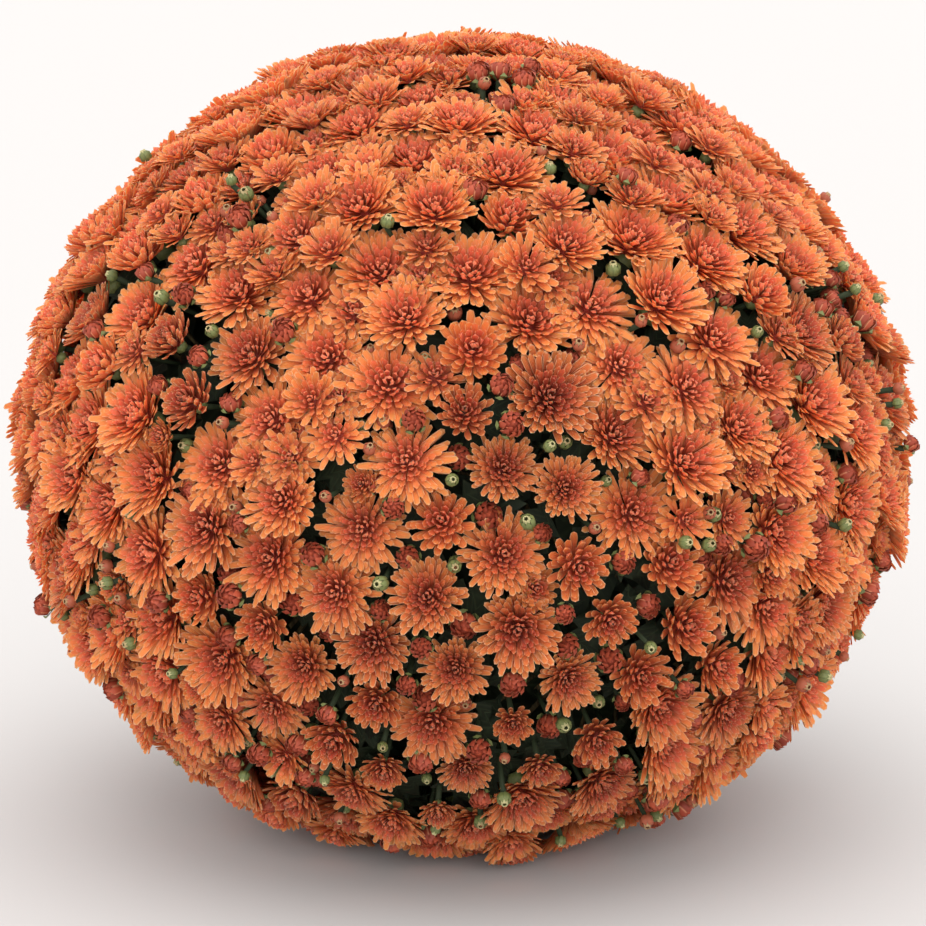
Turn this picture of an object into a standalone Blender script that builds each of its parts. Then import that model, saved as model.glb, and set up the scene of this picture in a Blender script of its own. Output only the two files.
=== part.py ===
"""A cushion chrysanthemum in full bloom, cut at its base: a woody stem, leafy branches and orange sprays.

Metres, +Z up. The origin is the middle of the stem's cut end, on the surface that the plant rests on.
Every branch, leaf and spray keeps inside its own cone from the ball's middle, so none crosses another.
"""

import math

import bmesh
import bpy
import numpy as np
from mathutils import Vector
from mathutils.geometry import delaunay_2d_cdt

# Size of the ball, over the tips of its blooms
BALL_WIDTH = 0.500
BALL_HEIGHT = 0.461
PRESSED_FLAT = 0.018          # how far its own weight flattens the underside
HALF_WIDTH = BALL_WIDTH / 2
HALF_HEIGHT = BALL_HEIGHT / 2
CENTRE_HEIGHT = HALF_HEIGHT - PRESSED_FLAT
MEAN_RADIUS = (2 * HALF_WIDTH + HALF_HEIGHT) / 3

# How many, and where
SEED = 11
CELL_COUNT = 458              # blooms, and gaps with buds, over the whole ball
SPRAY_COUNT = 26
GAP_COUNT = 26
ROUNDING_PASSES = 3
GOLDEN_ANGLE = math.pi * (3 - math.sqrt(5))
FOOT_ANGLE = math.radians(17.5)       # no bloom stands nearer to the stem's foot than this
FOOT_RING_ANGLE = math.radians(8.5)
FOOT_RING_COUNT = 7
LOWEST_SPRAY = -0.84          # height of the lowest spray's middle on a ball of radius 1
SCATTER = 0.30                # unevenness of the blooms, as a share of their spacing
SETTLE_REACH = 1.25           # of their spacing, within which blooms push each other
SETTLE_STEPS = 24
SETTLE_SHARE = 0.12
SHORTEST_SIDE = 0.010         # of a bloom's share of the ball, which has a radius of 1 here

# Depths below the tips of the outermost blooms
LIFT_RANGE = (0.000, 0.006)   # of a bloom's middle
TIP_DROP = 0.0095             # from a bloom's middle to its petal tips
NOTCH_DROP = 0.0140           # and to the notches between its petals
VALLEY_DEPTH = 0.0270         # between two blooms of a spray
SPRAY_EDGE_DEPTH = 0.0300     # at a spray's edge
SPRAY_MIDDLE_DEPTH = 0.0330   # at the middle of its underside
CANOPY_TOP_DEPTH = 0.0390
CANOPY_RIM_DEPTH = 0.0440
CANOPY_SHARE = 0.70           # of the way to the next branch's share
FORK_DEPTH = 0.0480           # where the stalks of a gap's two buds part

# Blooms
BLOOM_RADIUS_RANGE = (0.0165, 0.0230)
REACH_TO_EDGE = 0.88          # petals stop this far towards the next bloom
NOTCH_REACH = 0.68
LARGE_PETALS = 6
SMALL_PETALS = 5
LARGE_FROM_RADIUS = 0.0217
FACING_UP_RANGE = (0.07, 0.25)         # slope of a bloom that turns its face to the sky
PETAL_SHORTENING = (0.88, 1.0)         # how unevenly long a bloom's petals are
FLAT_TOLERANCE = 1e-9
CLEARANCE = 0.00030           # each spray's edge is drawn in by this

# Stems, buds and leaves
STEM_FOOT_RADIUS = 0.013
STEM_WAIST_RADIUS = 0.011
STEM_WAIST_HEIGHT = 0.020
STEM_TOP_RADIUS = 0.008
STEM_SIDES = 10
CROWN_RADIUS = 0.0246         # the knot at the stem's top that the branches spring from
CROWN_RINGS = 5
CROWN_GAP = 0.00035
BRANCH_SIDES = 4
BRANCH_RADII = (0.0042, 0.0028)
CANOPY_FOOT_SHARE = 0.52      # of the radius, where the leaves on a branch begin
TWIG_FOOT_SHARE = 0.62
TWIG_RADIUS = 0.0018
TWIG_SIDES = 4
SEAT_GAP = 0.00040
BUD_DEPTHS = (0.008, 0.015)
BUD_RADII = (0.0062, 0.0048)
BUD_TURNS = (0.0, 2.1)        # round the gap, where each bud leans
BUD_REACH = 0.40              # of the way to the next bloom
BUD_BELLY = 1.1               # bud radii from a bud's tip to its widest place
BUD_NECK = 2.4                # and to where its stalk begins
LEAF_FOOT_SHARE = 0.12        # of the way down the twig, where the leaf springs from it
LEAF_TURN = 4.2
LEAF_REACH = 0.90
LEAF_TIP_DEPTH = 0.0290
LEAF_THICKNESS = 0.0010
LEAF_OUTLINE = ((0.0, 0.0), (0.30, 0.34), (0.48, 0.16), (0.70, 0.30), (1.0, 0.0))

PETAL_ORANGE = (0.82, 0.25, 0.035, 1)
LEAF_GREEN = (0.045, 0.10, 0.03, 1)
STEM_BROWN = (0.20, 0.16, 0.07, 1)


def clear_scene():
    for obj in list(bpy.data.objects):
        bpy.data.objects.remove(obj, do_unlink=True)


def plain_material(name, colour, roughness):
    material = bpy.data.materials.new(name)
    material.use_nodes = True
    shader = material.node_tree.nodes["Principled BSDF"]
    shader.inputs["Base Color"].default_value = colour
    shader.inputs["Roughness"].default_value = roughness
    shader.inputs["Metallic"].default_value = 0.0
    return material


def share_at(depth):
    """The share of the full radius that lies this far below the outermost tips."""
    return 1.0 - depth / MEAN_RADIUS


def in_ball(point):
    """A point of the unit ball as a point of the real one, which is squat and pressed flat below."""
    placed = Vector((point.x * HALF_WIDTH, point.y * HALF_WIDTH, point.z * HALF_HEIGHT))
    if placed.z < -CENTRE_HEIGHT:
        placed *= -CENTRE_HEIGHT / placed.z
    placed.z = max(0.0, placed.z + CENTRE_HEIGHT)
    return placed


# Layout of the blooms

def even_directions(count, lowest):
    """Directions on a golden spiral, spread evenly over the part of the unit ball above lowest."""
    steps = np.arange(count) + 0.5
    height = 1.0 - steps / count * (1.0 - lowest)
    across = np.sqrt(1.0 - height * height)
    turn = steps * GOLDEN_ANGLE
    return np.column_stack((across * np.cos(turn), across * np.sin(turn), height))


def unit_rows(points):
    return points / np.linalg.norm(points, axis=1)[:, None]


def bloom_directions(rng):
    """Where the blooms stand: even at first, then scattered, then pushed apart as real ones are."""
    lowest = -math.cos(FOOT_ANGLE)
    points = even_directions(CELL_COUNT, lowest)
    spacing = math.sqrt(2 * math.pi * (1 - lowest) / CELL_COUNT * 2 / math.sqrt(3))
    points = unit_rows(points + rng.normal(0, SCATTER * spacing, points.shape))
    for _ in range(SETTLE_STEPS):
        away = points[:, None, :] - points[None, :, :]
        gap = np.linalg.norm(away, axis=2) + np.eye(len(points))
        push = np.clip(SETTLE_REACH * spacing - gap, 0, None) / gap
        points = unit_rows(points + SETTLE_SHARE * (away * push[:, :, None]).sum(axis=1))
        points[:, 2] = np.maximum(points[:, 2], lowest)
        points = unit_rows(points)
    return points


def foot_directions():
    """Directions under the ball where nothing grows but the stem."""
    turns = [2 * math.pi * k / FOOT_RING_COUNT for k in range(FOOT_RING_COUNT)]
    across, down = math.sin(FOOT_RING_ANGLE), -math.cos(FOOT_RING_ANGLE)
    return np.array([(across * math.cos(t), across * math.sin(t), down) for t in turns] + [(0, 0, -1)])


def tangent_axes(direction):
    """(sideways, upwards) along the surface of the unit ball at this direction."""
    side = Vector((0, 0, 1)).cross(direction)
    side = side.normalized() if side.length > 1e-6 else Vector((1, 0, 0))
    return side, direction.cross(side)


def flattened(point, direction):
    """Where a point shows, from the middle, on the plane that touches the unit ball at this direction."""
    side, up = tangent_axes(direction)
    ahead = point.dot(direction)
    return Vector((point.dot(side) / ahead, point.dot(up) / ahead))


def raised(flat, direction):
    """The direction that flattened would show at this place on the plane."""
    side, up = tangent_axes(direction)
    return (direction + side * flat.x + up * flat.y).normalized()


def partition(directions):
    """Splits the unit ball into one cell round each direction.

    Returns the corner directions, the three cells that meet at each corner,
    and each cell's corners and neighbours in turning order.
    """
    hull = bmesh.new()
    points = [hull.verts.new(d) for d in directions]
    hull.verts.index_update()
    bmesh.ops.convex_hull(hull, input=points)
    bmesh.ops.triangulate(hull, faces=hull.faces)
    corners = []
    meeting = []
    links = [{} for _ in directions]
    for face in hull.faces:
        cells = [v.index for v in face.verts]
        a, b, c = (directions[i] for i in cells)
        normal = (b - a).cross(c - a).normalized()
        if normal.dot(a) < 0:
            normal.negate()
            cells.reverse()
        for k in range(3):
            links[cells[k - 2]][cells[k - 1]] = (len(corners), cells[k])
        corners.append(normal)
        meeting.append(cells)
    hull.free()
    around = []
    beside = []
    for link in links:
        neighbours = [next(iter(link))]
        ring = []
        while len(ring) < len(link):
            corner, neighbour = link[neighbours[-1]]
            ring.append(corner)
            neighbours.append(neighbour)
        around.append(ring)
        beside.append(neighbours[:-1])
    stretch_short_sides(directions, corners, meeting, around)
    return corners, meeting, around, beside


def stretch_short_sides(directions, corners, meeting, around):
    """Moves apart two corners that nearly coincide, each towards the cell that it alone touches."""
    for ring in around:
        for first, second in zip(ring, ring[1:] + ring[:1]):
            if (corners[first] - corners[second]).length < SHORTEST_SIDE:
                beyond_first = (set(meeting[first]) - set(meeting[second])).pop()
                beyond_second = (set(meeting[second]) - set(meeting[first])).pop()
                middle = (corners[first] + corners[second]).normalized()
                heading = (directions[beyond_first] - directions[beyond_second]).normalized()
                corners[first] = (middle + heading * SHORTEST_SIDE / 2).normalized()
                corners[second] = (middle - heading * SHORTEST_SIDE / 2).normalized()


class Layout:
    """Every bloom, gap and spray of the ball."""

    def __init__(self):
        rng = np.random.default_rng(SEED)
        blooms = bloom_directions(rng)
        self.directions = [Vector(d) for d in np.concatenate((blooms, foot_directions()))]
        self.corners, self.meeting, self.around, self.beside = partition(self.directions)
        self.sprays = [Vector(d) for d in even_directions(SPRAY_COUNT, LOWEST_SPRAY)]
        self.spray_of = [self.nearest_spray(i) for i in range(CELL_COUNT)] + [None] * (FOOT_RING_COUNT + 1)
        self.round_off_sprays()
        foot = Vector((0, 0, -1))
        self.spray_corners, _, self.spray_around, _ = partition(self.sprays + [foot])
        self.gaps = self.pick_gaps(rng)
        self.looks = [self.draw_bloom(rng) for _ in range(CELL_COUNT)]

    def nearest_spray(self, cell):
        return max(range(SPRAY_COUNT), key=lambda s: self.sprays[s].dot(self.directions[cell]))

    def round_off_sprays(self):
        """Gives each bloom that hangs to its own spray by one side to the spray that holds it best."""
        for _ in range(ROUNDING_PASSES):
            for cell in range(CELL_COUNT):
                own = self.spray_of[cell]
                near = [self.spray_of[i] for i in self.beside[cell]]
                threes = zip(near, near[1:] + near[:1], near[2:] + near[:2])
                hangs = any(b == own and own not in (a, c) for a, b, c in threes)
                best = max((s for s in near if s not in (own, None)), key=near.count, default=own)
                if hangs or near.count(best) > near.count(own):
                    self.spray_of[cell] = best

    def pick_gaps(self, rng):
        """Gaps open where three sprays meet, wherever that leaves each spray whole."""
        places = [c for c in self.spray_corners if c.z > LOWEST_SPRAY]
        gaps = []
        for k in rng.permutation(len(places)):
            gap = max(range(CELL_COUNT), key=lambda i: self.directions[i].dot(places[k]))
            left = [i for i in self.cells_of(self.spray_of[gap]) if i not in gaps + [gap]]
            if len(gaps) < GAP_COUNT and gap not in gaps and self.outline_of(left):
                gaps.append(gap)
        return sorted(gaps)

    @staticmethod
    def draw_bloom(rng):
        radius = rng.uniform(*BLOOM_RADIUS_RANGE)
        return {
            "radius": radius,
            "petals": LARGE_PETALS if radius > LARGE_FROM_RADIUS else SMALL_PETALS,
            "turn": rng.uniform(0, 2 * math.pi),
            "lift": rng.uniform(*LIFT_RANGE),
            "facing_up": rng.uniform(*FACING_UP_RANGE),
            "uneven": rng.uniform(*PETAL_SHORTENING, LARGE_PETALS),
        }

    def cells_of(self, spray):
        return [i for i in range(CELL_COUNT) if self.spray_of[i] == spray]

    def blooms_of(self, spray):
        return [i for i in self.cells_of(spray) if i not in self.gaps]

    def gaps_of(self, spray):
        """The gaps that this spray's branch fills, which are the ones inside its own cone."""
        return [i for i in self.gaps if self.nearest_spray(i) == spray]

    def outline_of(self, cells):
        """The corners round these cells, in order, or nothing if they have a hole, a neck or fall apart."""
        members = set(cells)
        following = {}
        for cell in cells:
            ring = self.around[cell]
            for k, start in enumerate(ring):
                end = ring[(k + 1) % len(ring)]
                beyond = (set(self.meeting[start]) & set(self.meeting[end])) - {cell}
                if not beyond & members:
                    following[start] = end
        outline = [next(iter(following))]
        while following[outline[-1]] != outline[0]:
            outline.append(following[outline[-1]])
        rings = [self.around[cell] for cell in cells]
        sides = [side for ring in rings for side in zip(ring, ring[1:] + ring[:1])]
        inner = [(a, b) for a, b in sides if following.get(a) != b]
        necks = [(a, b) for a, b in inner if a in following and b in following]
        return outline if len(outline) == len(following) and not necks else []


# Sprays of blooms

def distance_to_edge(flat_corners, turn):
    """How far the cell reaches from its middle in this direction, on the flattened plane."""
    heading = Vector((math.cos(turn), math.sin(turn)))
    nearest = math.inf
    for k, start in enumerate(flat_corners):
        along = flat_corners[(k + 1) % len(flat_corners)] - start
        normal = Vector((along.y, -along.x))
        toward = normal.dot(heading)
        if toward > 0:
            nearest = min(nearest, normal.dot(start) / toward)
    return nearest


def spray_corner(layout, members, corner):
    """A corner of a cell of this spray: sunk, and drawn in beside another spray or a gap."""
    inside = [i for i in layout.meeting[corner] if i in members]
    direction = layout.corners[corner]
    if len(inside) == 3:
        return direction * share_at(VALLEY_DEPTH)
    middle = sum((layout.directions[i] for i in inside), Vector()) / len(inside)
    inwards = (middle - direction).normalized()
    drawn_in = (direction + inwards * CLEARANCE / MEAN_RADIUS).normalized()
    return drawn_in * share_at(SPRAY_EDGE_DEPTH)


def bloom_ring(look, flat_corners):
    """(place on the flattened plane, depth) of the petal tips and of the notches between them, in turn."""
    ring = []
    petals = look["petals"]
    for k in range(2 * petals):
        turn = look["turn"] + math.pi * k / petals
        reach = min(look["radius"] / MEAN_RADIUS, REACH_TO_EDGE * distance_to_edge(flat_corners, turn))
        is_notch = k % 2
        reach *= NOTCH_REACH if is_notch else look["uneven"][k // 2]
        flat = Vector((math.cos(turn), math.sin(turn))) * reach
        drop = NOTCH_DROP if is_notch else TIP_DROP
        ring.append((flat, look["lift"] + drop + look["facing_up"] * flat.y * MEAN_RADIUS))
    return ring


def add_bloom(mesh, layout, cell, edge_verts):
    """Raises one bloom from its cell: a ring of petals with ridges that run up to its middle."""
    direction = layout.directions[cell]
    look = layout.looks[cell]
    corner_ids = layout.around[cell]
    flat_corners = [flattened(edge_verts[k][1], direction) for k in corner_ids]
    ring = bloom_ring(look, flat_corners)
    flats = list(flat_corners)
    verts = [edge_verts[k][0] for k in corner_ids]
    for flat, depth in ring + [(Vector((0, 0)), look["lift"])]:
        flats.append(flat)
        verts.append(mesh.verts.new(in_ball(raised(flat, direction) * share_at(depth))))
    first = len(flat_corners)
    middle = len(flats) - 1
    outline = [(k, (k + 1) % first) for k in range(first)]
    petal_edge = [(first + k, first + (k + 1) % len(ring)) for k in range(len(ring))]
    spokes = [(first + k, middle) for k in range(len(ring))]
    filled = delaunay_2d_cdt(flats, outline + petal_edge + spokes, [], 1, FLAT_TOLERANCE)
    original = [ids[0] for ids in filled[3]]
    for triangle in filled[2]:
        mesh.faces.new([verts[original[k]] for k in triangle])


def build_spray(name, layout, spray, material):
    """One spray as a solid: its blooms on top, and an underside with its branch under the middle."""
    cells = layout.blooms_of(spray)
    members = set(cells)
    mesh = bmesh.new()
    edge_verts = {}
    for corner in sorted({k for cell in cells for k in layout.around[cell]}):
        point = spray_corner(layout, members, corner)
        edge_verts[corner] = (mesh.verts.new(in_ball(point)), point)
    for cell in cells:
        add_bloom(mesh, layout, cell, edge_verts)
    axis = layout.sprays[spray]
    outline = layout.outline_of(cells)
    flats = [flattened(edge_verts[k][1], axis) for k in outline] + [Vector((0, 0))]
    verts = [edge_verts[k][0] for k in outline]
    verts.append(mesh.verts.new(in_ball(axis * share_at(SPRAY_MIDDLE_DEPTH))))
    loop = [(k, (k + 1) % len(outline)) for k in range(len(outline))]
    filled = delaunay_2d_cdt(flats, loop, [], 1, FLAT_TOLERANCE)
    original = [ids[0] for ids in filled[3]]
    for triangle in filled[2]:
        corners = [verts[original[k]] for k in reversed(triangle)]
        doubled = mesh.faces.get(corners)
        if doubled:
            mesh.faces.remove(doubled)
        else:
            mesh.faces.new(corners)
    unused = [v for v in mesh.verts if not v.link_faces]
    bmesh.ops.delete(mesh, geom=unused, context="VERTS")
    return finished(name, mesh, material)


def finished(name, mesh, material):
    """Closes a mesh's bookkeeping and puts it in the scene as a named object."""
    bmesh.ops.recalc_face_normals(mesh, faces=mesh.faces)
    data = bpy.data.meshes.new(name)
    mesh.to_mesh(data)
    mesh.free()
    data.materials.append(material)
    obj = bpy.data.objects.new(name, data)
    bpy.context.scene.collection.objects.link(obj)
    return obj


# Branches, buds and leaves

def loft(rings):
    """A closed solid through rings of points; a ring of one point is a tip."""
    mesh = bmesh.new()
    rows = [[mesh.verts.new(p) for p in ring] for ring in rings]
    for lower, upper in zip(rows, rows[1:]):
        sides = max(len(lower), len(upper))
        for k in range(sides):
            corners = [lower[k % len(lower)], lower[(k + 1) % len(lower)]]
            corners += [upper[(k + 1) % len(upper)], upper[k % len(upper)]]
            mesh.faces.new(list(dict.fromkeys(corners)))
    for row in (rows[0], rows[-1]):
        if len(row) > 1:
            mesh.faces.new(row)
    return mesh


def ring_round(centre, axis, radius, sides, turn=0.0):
    side, up = tangent_axes(axis.normalized())
    turns = [turn + 2 * math.pi * k / sides for k in range(sides)]
    return [centre + (side * math.cos(t) + up * math.sin(t)) * radius for t in turns]


def branch_solid(axis):
    """A branch from the stem's crown to the underside of its spray, ending in a point."""
    outwards = in_ball(axis) - in_ball(Vector())
    start = in_ball(Vector()) + outwards.normalized() * (CROWN_RADIUS + CROWN_GAP)
    neck = in_ball(axis * share_at(CANOPY_TOP_DEPTH))
    seat_share = share_at(SPRAY_MIDDLE_DEPTH) - SEAT_GAP / outwards.length
    rings = [
        ring_round(start, outwards, BRANCH_RADII[0], BRANCH_SIDES),
        ring_round(neck, outwards, BRANCH_RADII[1], BRANCH_SIDES),
        [in_ball(axis * seat_share)],
    ]
    return loft(rings)


def canopy_solid(layout, spray):
    """The dense leaves at a branch's end, as one mass that its own leaves and buds stand out of."""
    axis = layout.sprays[spray]
    rim = []
    for corner in layout.spray_around[spray]:
        flat = flattened(layout.spray_corners[corner], axis) * CANOPY_SHARE
        rim.append(in_ball(raised(flat, axis) * share_at(CANOPY_RIM_DEPTH)))
    foot = in_ball(axis * CANOPY_FOOT_SHARE)
    top = in_ball(axis * share_at(CANOPY_TOP_DEPTH))
    return loft([[foot], rim, [top]])


def bud_solid(stalk, tip, radius):
    """A bud on a stalk through these points: thin to its neck, then a round belly and a point."""
    heading = (tip - stalk[-1]).normalized()
    rings = [ring_round(p, tip - stalk[0], TWIG_RADIUS, TWIG_SIDES) for p in stalk]
    rings.append(ring_round(tip - heading * radius * BUD_NECK, heading, TWIG_RADIUS, TWIG_SIDES))
    rings.append(ring_round(tip - heading * radius * BUD_BELLY, heading, radius, TWIG_SIDES))
    rings.append([tip])
    return loft(rings)


def leaf_solid(base, tip, upwards):
    """One flat, lobed leaf of real thickness from its base to its tip, with its face turned upwards."""
    outline = list(LEAF_OUTLINE) + [(x, -y) for x, y in reversed(LEAF_OUTLINE[1:-1])]
    along = tip - base
    across = upwards.cross(along).normalized() * along.length
    face = along.cross(across).normalized() * (LEAF_THICKNESS / 2)
    middle = [base + along * x + across * y for x, y in outline]
    return loft([[p - face for p in middle], [p + face for p in middle]])


def gap_solids(layout, spray, gap, turn):
    """What fills a gap between sprays, inside the gap's cone: a twig, two buds and a leaf."""
    direction = layout.directions[gap]
    flat_corners = [flattened(layout.corners[k], direction) for k in layout.around[gap]]

    def place(lean, share_of_room, depth):
        heading = Vector((math.cos(turn + lean), math.sin(turn + lean)))
        flat = heading * distance_to_edge(flat_corners, turn + lean) * share_of_room
        return in_ball(raised(flat, direction) * share_at(depth))

    fork = in_ball(direction * share_at(FORK_DEPTH))
    foot = in_ball(layout.sprays[spray] * TWIG_FOOT_SHARE)
    tall, low = (place(lean, BUD_REACH, depth) for lean, depth in zip(BUD_TURNS, BUD_DEPTHS))
    leaf_foot = fork.lerp(foot, LEAF_FOOT_SHARE)
    outwards = (fork - in_ball(Vector())).normalized()
    return [
        bud_solid([foot, fork], tall, BUD_RADII[0]),
        bud_solid([fork], low, BUD_RADII[1]),
        leaf_solid(leaf_foot, place(LEAF_TURN, LEAF_REACH, LEAF_TIP_DEPTH), outwards),
    ]


def build_branch(name, layout, spray, material):
    """A leafy branch: the union of its wood, its mass of leaves, and what fills its gaps."""
    parts = [canopy_solid(layout, spray)]
    for gap in layout.gaps_of(spray):
        parts += gap_solids(layout, spray, gap, layout.looks[gap]["turn"])
    branch = finished(name, branch_solid(layout.sprays[spray]), material)
    repeats = bpy.data.collections.new(name + "_repeats")
    bpy.context.scene.collection.children.link(repeats)
    for k, part in enumerate(parts):
        piece = finished(f"{name}_piece_{k}", part, material)
        bpy.context.scene.collection.objects.unlink(piece)
        repeats.objects.link(piece)
    join = branch.modifiers.new("join", "BOOLEAN")
    join.operation = "UNION"
    join.operand_type = "COLLECTION"
    join.collection = repeats
    join.solver = "EXACT"
    apply_modifiers(branch)
    keep_outer_skin(branch)
    for piece in list(repeats.objects):
        bpy.data.objects.remove(piece, do_unlink=True)
    bpy.data.collections.remove(repeats)
    return branch


def apply_modifiers(obj):
    """Replaces the object's mesh by the one its modifiers make."""
    graph = bpy.context.evaluated_depsgraph_get()
    data = bpy.data.meshes.new_from_object(obj.evaluated_get(graph))
    obj.modifiers.clear()
    obj.data = data


def keep_outer_skin(obj):
    """Fills any pocket that the union sealed, by removing all but the largest connected skin."""
    mesh = bmesh.new()
    mesh.from_mesh(obj.data)
    waiting = set(mesh.faces)
    skins = []
    while waiting:
        skin = [waiting.pop()]
        for face in skin:
            beside = {other for edge in face.edges for other in edge.link_faces} & waiting
            skin.extend(beside)
            waiting -= beside
        skins.append(skin)
    largest = max(skins, key=len)
    inner = [face for skin in skins if skin is not largest for face in skin]
    bmesh.ops.delete(mesh, geom=inner, context="FACES")
    mesh.to_mesh(obj.data)
    mesh.free()


def build_stem(material):
    """The woody stem from its cut end to the crown that all the branches spring from."""
    joint_angle = math.asin(STEM_TOP_RADIUS / CROWN_RADIUS)
    profile = [(STEM_FOOT_RADIUS, 0.0), (STEM_WAIST_RADIUS, STEM_WAIST_HEIGHT)]
    for k in range(CROWN_RINGS):
        angle = joint_angle + (math.pi - joint_angle) * k / CROWN_RINGS
        profile.append((CROWN_RADIUS * math.sin(angle), CENTRE_HEIGHT - CROWN_RADIUS * math.cos(angle)))
    rings = [ring_round(Vector((0, 0, z)), Vector((0, 0, 1)), r, STEM_SIDES) for r, z in profile]
    rings.append([Vector((0, 0, CENTRE_HEIGHT + CROWN_RADIUS))])
    return finished("woody_stem", loft(rings), material)


def main():
    clear_scene()
    orange = plain_material("petals", PETAL_ORANGE, 0.60)
    green = plain_material("foliage", LEAF_GREEN, 0.70)
    brown = plain_material("stem", STEM_BROWN, 0.85)
    layout = Layout()
    build_stem(brown)
    for spray in range(SPRAY_COUNT):
        build_spray(f"bloom_spray_{spray + 1:02d}", layout, spray, orange)
        build_branch(f"leafy_branch_{spray + 1:02d}", layout, spray, green)


main()
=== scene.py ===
import math
import random

import bmesh
import bpy
import numpy as np
from mathutils import Matrix, Vector


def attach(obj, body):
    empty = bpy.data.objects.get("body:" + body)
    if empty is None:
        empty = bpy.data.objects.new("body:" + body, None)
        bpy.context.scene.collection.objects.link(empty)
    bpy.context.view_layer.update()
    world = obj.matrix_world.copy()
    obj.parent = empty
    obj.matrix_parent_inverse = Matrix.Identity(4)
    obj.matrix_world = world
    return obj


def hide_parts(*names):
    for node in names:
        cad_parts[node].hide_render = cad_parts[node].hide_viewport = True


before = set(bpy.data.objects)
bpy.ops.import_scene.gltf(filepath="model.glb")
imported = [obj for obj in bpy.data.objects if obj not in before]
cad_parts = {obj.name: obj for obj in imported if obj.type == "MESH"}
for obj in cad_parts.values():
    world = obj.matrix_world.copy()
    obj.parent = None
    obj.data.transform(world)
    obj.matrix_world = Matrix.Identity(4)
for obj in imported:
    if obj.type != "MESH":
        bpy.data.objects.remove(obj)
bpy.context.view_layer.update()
print("frame loaded:", len(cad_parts), "nodes")

# The ball that the blooms stand on, in metres, as the frame's solids have it.
ball = {"halfWidth": 0.250, "halfHeight": 0.2305, "centreHeight": 0.2125, "meanRadius": 0.2435}
ballCentre = Vector((0, 0, ball["centreHeight"]))

# Faces of a branch piece: leaf blades and stalks, green bracts and calyxes, wood, and the buds' petals.
branchSlots = {"leaf": 0, "green": 1, "wood": 2, "petal": 3}


def onUnitBall(point):
    width, height = ball["halfWidth"], ball["halfHeight"]
    return Vector((point.x / width, point.y / width, (point.z - ball["centreHeight"]) / height))


def radiusShare(point):
    return onUnitBall(point).length


def outwardsAt(point):
    unit = onUnitBall(point)
    width, height = ball["halfWidth"], ball["halfHeight"]
    return Vector((unit.x / width, unit.y / width, unit.z / height)).normalized()


def atDepth(point, depth):
    # the point straight above or below this one, seen from the ball's middle, at a depth under its skin
    unit = onUnitBall(point).normalized() * (1 - depth / ball["meanRadius"])
    width, height = ball["halfWidth"], ball["halfHeight"]
    return Vector((unit.x * width, unit.y * width, unit.z * height)) + ballCentre


def skywardAt(normal):
    return Vector((0, 0, 1)) - normal * normal.z


def between(low, high, share):
    return low + (high - low) * share


def jitter(rng, most):
    return rng.uniform(-1, 1) * most


def randomLean(rng, most):
    return Vector((rng.uniform(-1, 1), rng.uniform(-1, 1), rng.uniform(-1, 1))) * most


# Where things stand, read from the frame's solids
finding = {
    "mergeDistance": 1e-5,
    "sortDigits": 4,
    "leastSpokes": 10,         # a bloom's middle is linked to this many petal corners or more
    "tipsMeasured": 5,
    "restingHeight": 1e-4,     # a bloom that the plant's weight presses flat is lower than this
    "valleyDepths": (0.0262, 0.0308),   # of the corners where three blooms meet
    "budsAbove": 0.0200,       # a branch's peaks nearer to the skin than this are its buds
    "budsApart": 0.030,        # the two buds of a gap stand nearer to each other than this
}


def sprayNode(number):
    return f"bloom_spray_{number:02d}"


def branchNode(number):
    return f"leafy_branch_{number:02d}"


def mergedCopy(nodeName):
    bm = bmesh.new()
    bm.from_mesh(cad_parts[nodeName].data)
    bmesh.ops.remove_doubles(bm, verts=bm.verts, dist=finding["mergeDistance"])
    return bm


def linkedPoints(vert):
    return [edge.other_vert(vert).co for edge in vert.link_edges]


def inOrder(points):
    digits = finding["sortDigits"]
    return sorted(points, key=lambda p: (round(p.z, digits), round(p.x, digits), round(p.y, digits)))


def bloomPlaces(number):
    bm = mergedCopy(sprayNode(number))
    places = {}
    for vert in bm.verts:
        near = linkedPoints(vert)
        isPeak = all(radiusShare(p) < radiusShare(vert.co) for p in near)
        if len(near) >= finding["leastSpokes"] and (isPeak or vert.co.z < finding["restingHeight"]):
            reaches = sorted((p - vert.co).length for p in near)[-finding["tipsMeasured"]:]
            places[vert.co.copy().freeze()] = sum(reaches) / len(reaches)
    bm.free()
    return [(point, places[point]) for point in inOrder(places)]


def valleyPlaces(number):
    bm = mergedCopy(sprayNode(number))
    depths = [(v.co.copy(), (1 - radiusShare(v.co)) * ball["meanRadius"]) for v in bm.verts]
    bm.free()
    low, high = finding["valleyDepths"]
    return inOrder(p for p, depth in depths if low < depth < high)


def budPlaces(number):
    bm = mergedCopy(branchNode(number))
    highest = 1 - finding["budsAbove"] / ball["meanRadius"]
    tips = []
    for vert in bm.verts:
        share = radiusShare(vert.co)
        if share > highest and all(radiusShare(p) < share for p in linkedPoints(vert)):
            tips.append(vert.co.copy())
    bm.free()
    return inOrder(tips)


def gapPlaces(number):
    tips = budPlaces(number)
    pairs = [(a, b) for k, a in enumerate(tips) for b in tips[k + 1:]]
    return [(a + b) / 2 for a, b in pairs if (a - b).length < finding["budsApart"]]


# Petals, bracts and leaves are all one closed blade, drawn out of a three-sided ball.
# Each outline is a list of (place along the blade, width there) as shares of its length and width.
blade = {
    "sides": 3,                # one becomes the ridge, the other two the edges
    "ridgeBeyond": 0.1,        # on the ball, in shares of its radius
    "poleWithin": 1e-4,
    "creaseFrom": math.radians(70),
}
petalOutline = ((0, 0), (0.70, 1.00), (0.945, 0.74), (1, 0))
innerOutline = ((0, 0), (0.50, 0.92), (0.90, 0.84), (1, 0))
knotOutline = ((0, 0), (0.82, 1.00), (1, 0))
broadOutline = ((0, 0), (0.34, 0.82), (0.78, 1.00), (1, 0))
leafOutline = (
    (0, 0), (0.16, 0.10), (0.30, 0.66), (0.38, 0.34), (0.52, 1.00),
    (0.60, 0.46), (0.74, 0.80), (0.84, 0.40), (1, 0),
)


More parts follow.
